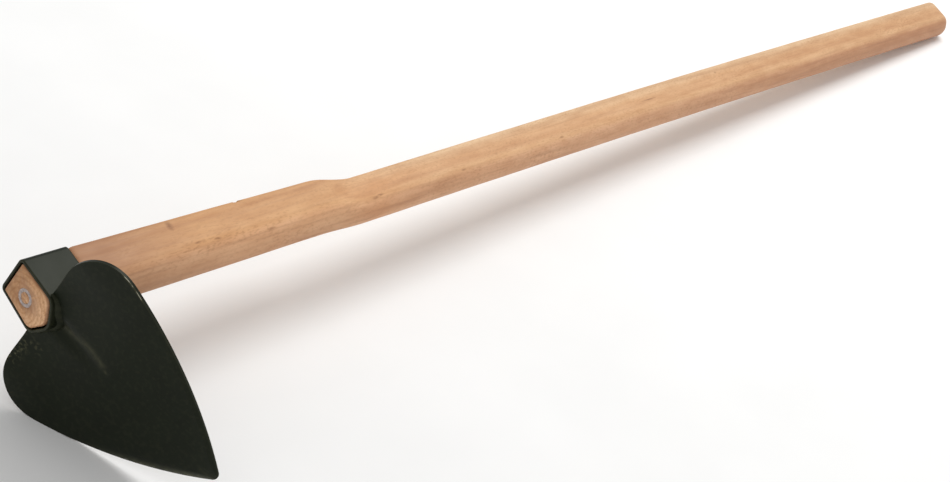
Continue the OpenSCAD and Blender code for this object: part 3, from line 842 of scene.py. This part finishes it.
blade = copy_of("blade", "hoe_blade")
pick_sharp(RIM_SHARP)
keep_selected_sharp()
bpy.ops.mesh.select_mode(use_expand=True, type="FACE")
bpy.ops.mesh.region_to_loop()
bpy.ops.object.mode_set(mode="OBJECT")
places = places_of(blade)
for edge in blade.data.edges:
    edge.select = edge.select and not any(is_by_eye(places[i]) for i in edge.vertices)
bpy.ops.object.mode_set(mode="EDIT")
keep_selected_sharp()
add_modifier(blade, "smoothing", "SUBSURF", levels=2, render_levels=2)
print("blade smoothed from", len(places), "points")

# %% [markdown]
# Much of the blade's wear lies along its rim, so the distance to the rim has to be known at every point.
# It is looked up among the rim's own points, which are picked by their sharp angle once more.
# Going through all of them each time would be slow, so a tree finds the nearest one.

# %% Rim of the blade
pick_sharp(RIM_SHARP)
bpy.ops.object.mode_set(mode="OBJECT")
rim_places = [p for p, vertex in zip(places_of(blade), blade.data.vertices)
              if vertex.select and not is_by_eye(p)]
rim_tree = KDTree(len(rim_places))
for i, p in enumerate(rim_places):
    rim_tree.insert(p, i)
rim_tree.balance()
bpy.ops.object.mode_set(mode="EDIT")


def to_rim(p):
    """Distance of a place on the blade from its rim, in millimetres."""
    return rim_tree.find(p)[2]


print(len(rim_places), "points on the rim")

# %% [markdown]
# Wear could be painted on by hand, but here it is worked out from places, so that each run gives the same.
# It is a share, from 0 where the paint is whole to 1 where it is gone, and two shapes are enough to draw it:
# a smooth step, and a bell for a narrow line. The result is written on the mesh point by point.

# %% Shares on a piece


def rise(value, start, end):
    """A share that grows smoothly from 0 at the start to 1 at the end, either way round."""
    t = min(max((value - start) / (end - start), 0), 1)
    return t * t * (3 - 2 * t)


def bell(distance, half_width):
    """A share that is 1 at no distance and falls off on both sides."""
    return math.exp(-(distance / half_width) ** 2)


def set_share(piece, name, share):
    """Writes a share on each vertex, from its place and the way it faces on the tool."""
    bpy.ops.object.mode_set(mode="OBJECT")
    layer = piece.data.attributes.new(name, "FLOAT", "POINT")
    for p, vertex in zip(places_of(piece), piece.data.vertices):
        layer.data[vertex.index].value = share(p, to_tool.to_3x3() @ vertex.normal)
    bpy.ops.object.mode_set(mode="EDIT")


print("half a width from its middle a bell is", round(bell(0.5, 1), 2))

# %% [markdown]
# A thin line of wear runs all along the rim. Towards the tip the bevel of one edge is painted lighter: painted
# light that the bevel catches.
# On the front face, the one in view, the fold under the eye has a painted highlight along its crest, where the
# paint is also rubbed, down to a small painted highlight at its end. One lobe has a bright sliver of edge:
# bare steel with a painted glint.
# The shoulder of the other is scuffed.
# Each place starts and ends by shares that are multiplied, at distances in millimetres,
# across the blade, down it and in from the rim. Where places overlap, the most worn one counts.

# %% Wear and painted highlights of the blade


def on_front(normal):
    """1 on the front face of the blade, and 0 where it faces back."""
    return rise(normal.x, 0.0, -0.3)


def blade_wear_and_highlights(p, normal):
    """Share of the paint that is rubbed thin at a place on the blade, with its painted highlights."""
    down = down_blade(p)
    rim = 0.12 * rise(to_rim(p), 1.2, 0)
    # Painted light: the bevel towards the tip is lightened for the light that it catches.
    lit_bevel = 0.45 * rise(p.y, 0, 6) * rise(down, 60, 130) * rise(to_rim(p), 6, 1)
    # Bare steel and a painted glint along one lobe's edge.
    sliver_and_glint = 0.95 * rise(p.y, -58, -64) * rise(down, 26, 30) * rise(down, 50, 45) * rise(to_rim(p), 1.5, 0.3)
    # A painted highlight along the fold's crest, where the paint is also rubbed, ending in a small painted
    # highlight.
    crest = -6.2 + 4.0 * rise(down, 38, 20) + 1.2 * rise(down, 44, 56)
    fold_highlight = 0.32 * bell(p.y - crest, 3.5) * rise(down, 10, 18) * rise(down, 60, 50)
    end_highlight = 0.5 * bell(p.y + 3.0, 1.3) * bell(down - 56.4, 1.6)
    return max(rim, lit_bevel, on_front(normal) * max(sliver_and_glint, fold_highlight, end_highlight))


def blade_scuff(p, normal):
    """Share of the specks that scuffing left at a place on the blade: few all over, many on one shoulder."""
    down = down_blade(p)
    along_rim = rise(p.y, 19, 27) * rise(p.y, 60, 46) * rise(to_rim(p), 11, 2) * rise(down, 24, 10)
    by_neck = 0.6 * rise(p.y, 22, 26) * rise(p.y, 38, 31) * rise(down, 20, 12)
    return 0.75 * max(0.08, on_front(normal) * max(along_rim, by_neck))


set_share(blade, "wear_and_highlight", blade_wear_and_highlights)
set_share(blade, "scuff", blade_scuff)
dress(blade, "blade", paint, SMOOTH_ANGLE)

# %% [markdown]
# The eye is a band of steel bent to five corners and closed, its rims filed to a small chamfer.
# Its shape is right as it is. The whole band could be subdivided to carry the wear,
# but extra rings of points near each rim are enough to let it fade within a few millimetres.
# Below the knees, in front of the blade, a strip of the flank is painted paler: painted light for the light
# that this strip catches.

# %% Eye
RIM_RINGS = (1.2, 3.0, 5.0, EYE_LEN - 3.0, EYE_LEN - 1.2)


def eye_wear_and_lit_strip(p, normal):
    """Share of the paint that is rubbed thin at a place on the eye, with a strip of painted light below the
    knees.
    """
    rims = 0.2 * rise(min(p.x, EYE_LEN - p.x), 1.0, 0.2)
    # Painted light: a strip of the flank below the knees is made paler.
    foot = 0.12 * rise(p.z, -29, -33) * rise(p.x, 6.5, 2)
    return max(rims, foot)


eye = copy_of("eye_collar", "hoe_eye_collar")
slice_at(*RIM_RINGS)
set_share(eye, "wear_and_highlight", eye_wear_and_lit_strip)
dress(eye, "eye_collar", paint, SMOOTH_ANGLE)

# %% [markdown]
# The plate is joined to the eye by a bead of weld on each face. A hand-laid bead is a row of overlapping
# drops, brushed and painted over. The drops could be modelled one by one and joined,
# but under the paint only their unevenness shows, so the bead is subdivided and pushed in and out.
# Its toes, where it runs out on the plate and on the eye, are creased first and left where they are.

# %% Welds
TOE_SHARP = 40
DROP = 3.2
DROP_REACH = 0.3
WELD_WEAR = 0.15
WELD_SMOOTH_ANGLE = 60

for node in ("front_weld", "rear_weld"):
    bead = copy_of(node, "hoe_" + node)
    pick_sharp(TOE_SHARP)
    keep_selected_sharp()
    add_modifier(bead, "smoothing", "SUBSURF", levels=2, render_levels=2)
    pick_sharp(TOE_SHARP)
    bpy.ops.mesh.select_mode(type="VERT")
    bpy.ops.mesh.select_all(action="INVERT")
    group_selected(bead, "drops")
    push_uneven(bead, "drops", DROP, DROP_REACH)
    set_share(bead, "wear_and_highlight", lambda p, normal: WELD_WEAR)
    dress(bead, node, paint, WELD_SMOOTH_ANGLE)
